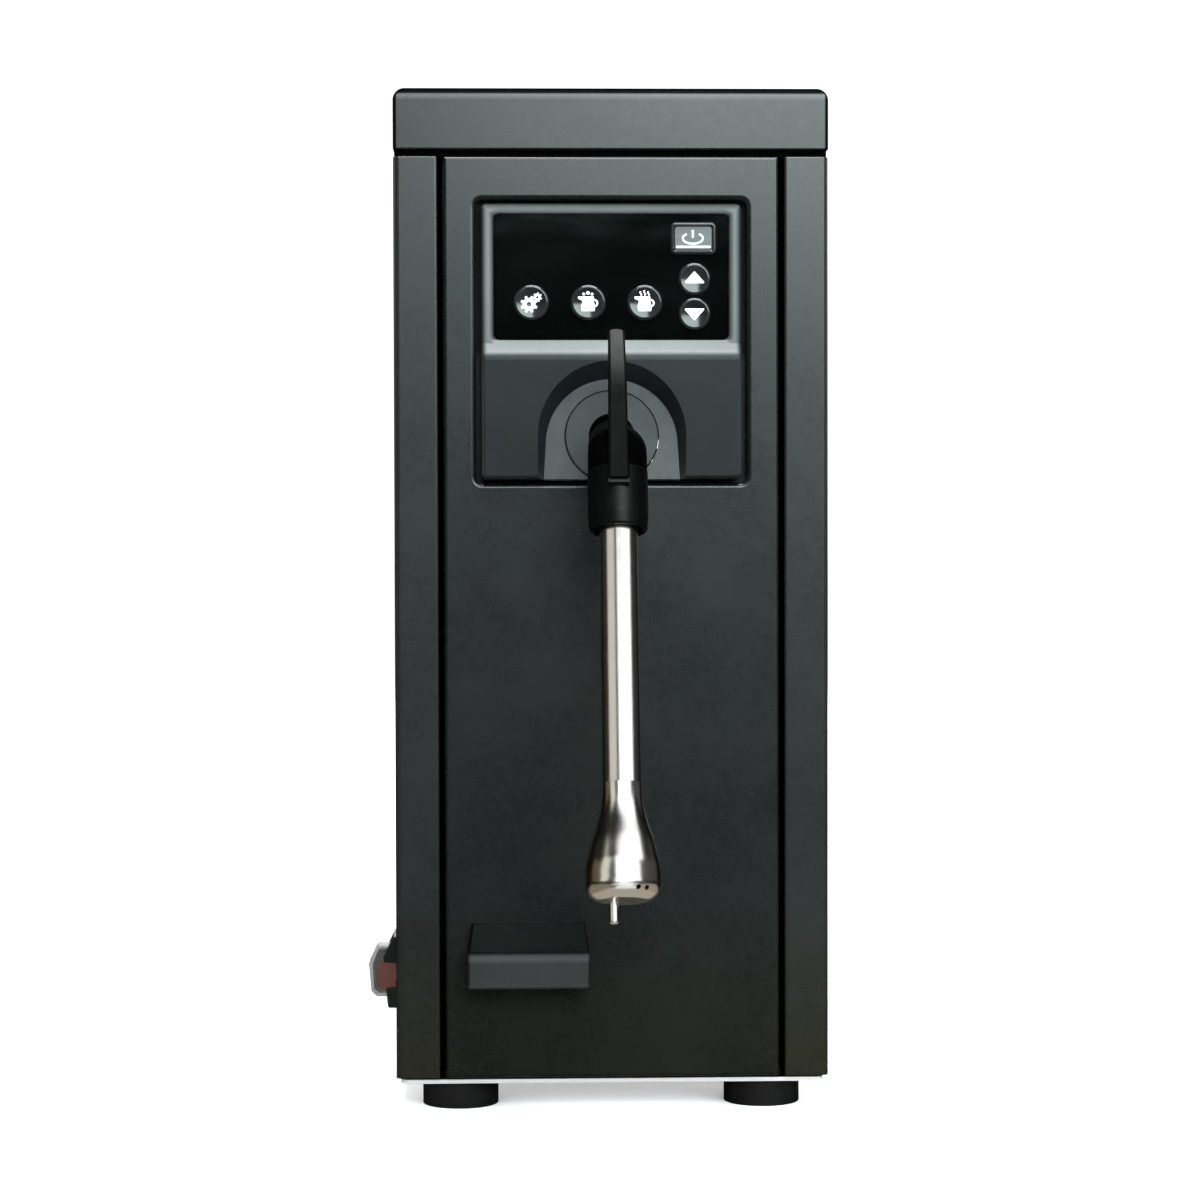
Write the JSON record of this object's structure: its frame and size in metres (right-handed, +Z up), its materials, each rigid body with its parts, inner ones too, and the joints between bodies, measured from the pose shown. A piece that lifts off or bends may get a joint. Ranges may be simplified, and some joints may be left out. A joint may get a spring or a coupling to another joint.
{
  "type": "milk steamer",
  "caption": "Counter-top milk steamer: tall black casing, control window with push buttons, ball-jointed steam wand with thumb lever and flared nozzle, boiler and pumps inside.",
  "frame": {"origin": "middle of the four feet on the standing plane", "axes": "+Z up, the control front faces -Y, +X to the right seen from the front"},
  "size_m": [0.1829, 0.4979, 0.4],
  "materials": {
    "black_coat": "satin black powder coat",
    "base_steel": "brushed stainless",
    "zinc_steel": "zinc plated",
    "polished_steel": "polished stainless",
    "black_plastic": "fine-grained black moulding",
    "joint_black": "low-friction black moulding",
    "housing_plastic": "satin dark grey moulding",
    "surround_plastic": "satin mid grey moulding",
    "hood_plastic": "satin dark grey moulding",
    "window_gloss": "glossy black",
    "button_gloss": "glossy black with pale symbol",
    "black_rubber": "matte",
    "grip_rubber": "matte",
    "red_plastic": "red moulding",
    "clear_boot": "clear soft cap",
    "brass": "turned",
    "copper": "drawn tube",
    "coil_plastic": "encapsulated coil",
    "board_green": "populated circuit board",
    "insulation_felt": "felt",
    "red_gasket": "silicone",
    "silicone_hose": "silicone"
  },
  "bodies": {
    "case": {"base_plate": "base_steel", "left_side_panel": "black_coat", "right_side_panel": "black_coat", "front_panel": "black_coat", "back_panel": "black_coat", "top_frame": "black_plastic", "top_cover": "black_coat", "rubber_feet": "black_rubber", "foot_studs": "zinc_steel", "casing_screws": "zinc_steel", "control_housing": "housing_plastic", "arm_surround": "surround_plastic", "display_window": "window_gloss", "display_board": "board_green", "button_switches": "black_plastic", "panel_screws": "zinc_steel", "ball_socket": "brass", "escutcheon_disc": "surround_plastic", "outlet_hood": "hood_plastic", "purge_pipe": "base_steel", "purge_valve": "coil_plastic", "switch_body": "black_plastic", "boiler_tank": "base_steel", "boiler_lid": "base_steel", "boiler_gasket": "red_gasket", "boiler_bolts": "zinc_steel", "boiler_insulation": "insulation_felt", "boiler_stand": "zinc_steel", "heating_element": "base_steel", "level_probe": "base_steel", "safety_valve": "brass", "pressure_sensor": "brass", "steam_valve": "coil_plastic", "copper_pipes": "copper", "hoses": "silicone_hose", "water_pump": "coil_plastic", "air_pump": "coil_plastic", "inlet_valve": "brass", "control_board": "board_green", "cord_gland": "black_plastic"},
    "ball": {"joint_ball": "joint_black"},
    "wand": {"arm_elbow": "black_plastic", "thumb_lever": "black_plastic", "wand_grip": "grip_rubber", "wand_tube": "polished_steel", "steam_tube": "base_steel", "nozzle_tip": "polished_steel", "nozzle_seal": "black_rubber", "temperature_probe": "polished_steel"},
    "power_key": {"power_button": "button_gloss"},
    "up_key": {"up_button": "button_gloss"},
    "down_key": {"down_button": "button_gloss"},
    "settings_key": {"settings_button": "button_gloss"},
    "froth_key": {"froth_button": "button_gloss"},
    "steam_key": {"steam_button": "button_gloss"},
    "mains_rocker": {"rocker": "red_plastic", "switch_boot": "clear_boot"},
    "steam_armature": {"steam_plunger": "zinc_steel"},
    "purge_armature": {"purge_plunger": "zinc_steel"}
  },
  "joints": [
    {"name": "wand_tilt", "type": "hinge", "parent": "case", "child": "ball", "pos_m": [0, -0.17504, 0.26344], "axis": [-1, 0, 0], "range_deg": [-6, 28]},
    {"name": "wand_swing", "type": "hinge", "parent": "ball", "child": "wand", "pos_m": [0, -0.238, 0.2564], "axis": [0, -0.9938, -0.1111], "range_deg": [-40, 40]},
    {"name": "power_press", "type": "slide", "parent": "case", "child": "power_key", "axis": [0, 1, 0], "range_m": [0, 0.001], "stiffness_N_per_m": 600, "springref_m": -0.001},
    {"name": "up_press", "type": "slide", "parent": "case", "child": "up_key", "axis": [0, 1, 0], "range_m": [0, 0.001], "stiffness_N_per_m": 600, "springref_m": -0.001},
    {"name": "down_press", "type": "slide", "parent": "case", "child": "down_key", "axis": [0, 1, 0], "range_m": [0, 0.001], "stiffness_N_per_m": 600, "springref_m": -0.001},
    {"name": "settings_press", "type": "slide", "parent": "case", "child": "settings_key", "axis": [0, 1, 0], "range_m": [0, 0.001], "stiffness_N_per_m": 600, "springref_m": -0.001},
    {"name": "froth_press", "type": "slide", "parent": "case", "child": "froth_key", "axis": [0, 1, 0], "range_m": [0, 0.001], "stiffness_N_per_m": 600, "springref_m": -0.001},
    {"name": "steam_press", "type": "slide", "parent": "case", "child": "steam_key", "axis": [0, 1, 0], "range_m": [0, 0.001], "stiffness_N_per_m": 600, "springref_m": -0.001},
    {"name": "mains_rock", "type": "hinge", "parent": "case", "child": "mains_rocker", "pos_m": [-0.0835, -0.12, 0.0476], "axis": [0, -1, 0], "range_deg": [0, 14]},
    {"name": "steam_valve_lift", "type": "slide", "parent": "case", "child": "steam_armature", "axis": [0, 0, 1], "range_m": [0, 0.0025], "stiffness_N_per_m": 400, "springref_m": -0.003},
    {"name": "purge_valve_lift", "type": "slide", "parent": "case", "child": "purge_armature", "axis": [0, 0, 1], "range_m": [0, 0.0025], "stiffness_N_per_m": 400, "springref_m": -0.003}
  ]
}
